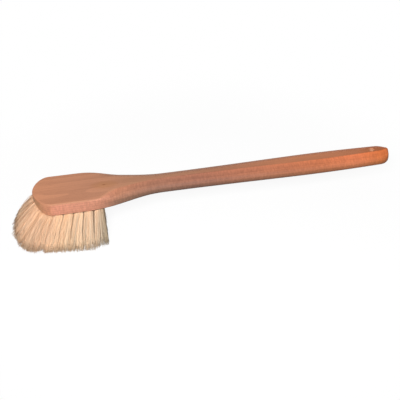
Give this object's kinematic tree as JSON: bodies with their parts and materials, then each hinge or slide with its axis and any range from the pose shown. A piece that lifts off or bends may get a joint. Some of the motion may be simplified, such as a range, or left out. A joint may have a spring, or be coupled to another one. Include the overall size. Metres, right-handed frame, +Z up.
{
  "type": "fender brush",
  "caption": "Long-handled fender brush: hardwood handle and head in a single board with a hang hole, and flared tufts of natural fibre stapled into the head's underside.",
  "frame": {"origin": "midway along the whole brush, on its plane of symmetry, at the level of the fibre tips it stands on", "axes": "+X from the head to the handle's end, +Y across the head, +Z up from the fibre tips through the board"},
  "size_m": [0.5378, 0.1085, 0.0698],
  "materials": {
    "hardwood": "sanded hardwood with a thin clear coat, pinkish brown, fine lengthwise grain",
    "fibre": "undyed cream tampico fibre, dry and matt",
    "wire": "drawn steel wire, bare"
  },
  "bodies": {
    "root": {"handle_block": "hardwood", "tufts_front": "fibre", "tufts_fore": "fibre", "tufts_rear": "fibre", "tufts_back": "fibre", "staple_01": "wire", "staple_02": "wire", "staple_03": "wire", "staple_04": "wire", "staple_05": "wire", "staple_06": "wire", "staple_07": "wire", "staple_08": "wire", "staple_09": "wire", "staple_10": "wire", "staple_11": "wire", "staple_12": "wire", "staple_13": "wire", "staple_14": "wire", "staple_15": "wire", "staple_16": "wire", "staple_17": "wire", "staple_18": "wire", "staple_19": "wire", "staple_20": "wire", "staple_21": "wire", "staple_22": "wire", "staple_23": "wire", "staple_24": "wire", "staple_25": "wire", "staple_26": "wire", "staple_27": "wire", "staple_28": "wire", "staple_29": "wire", "staple_30": "wire"}
  },
  "joints": []
}
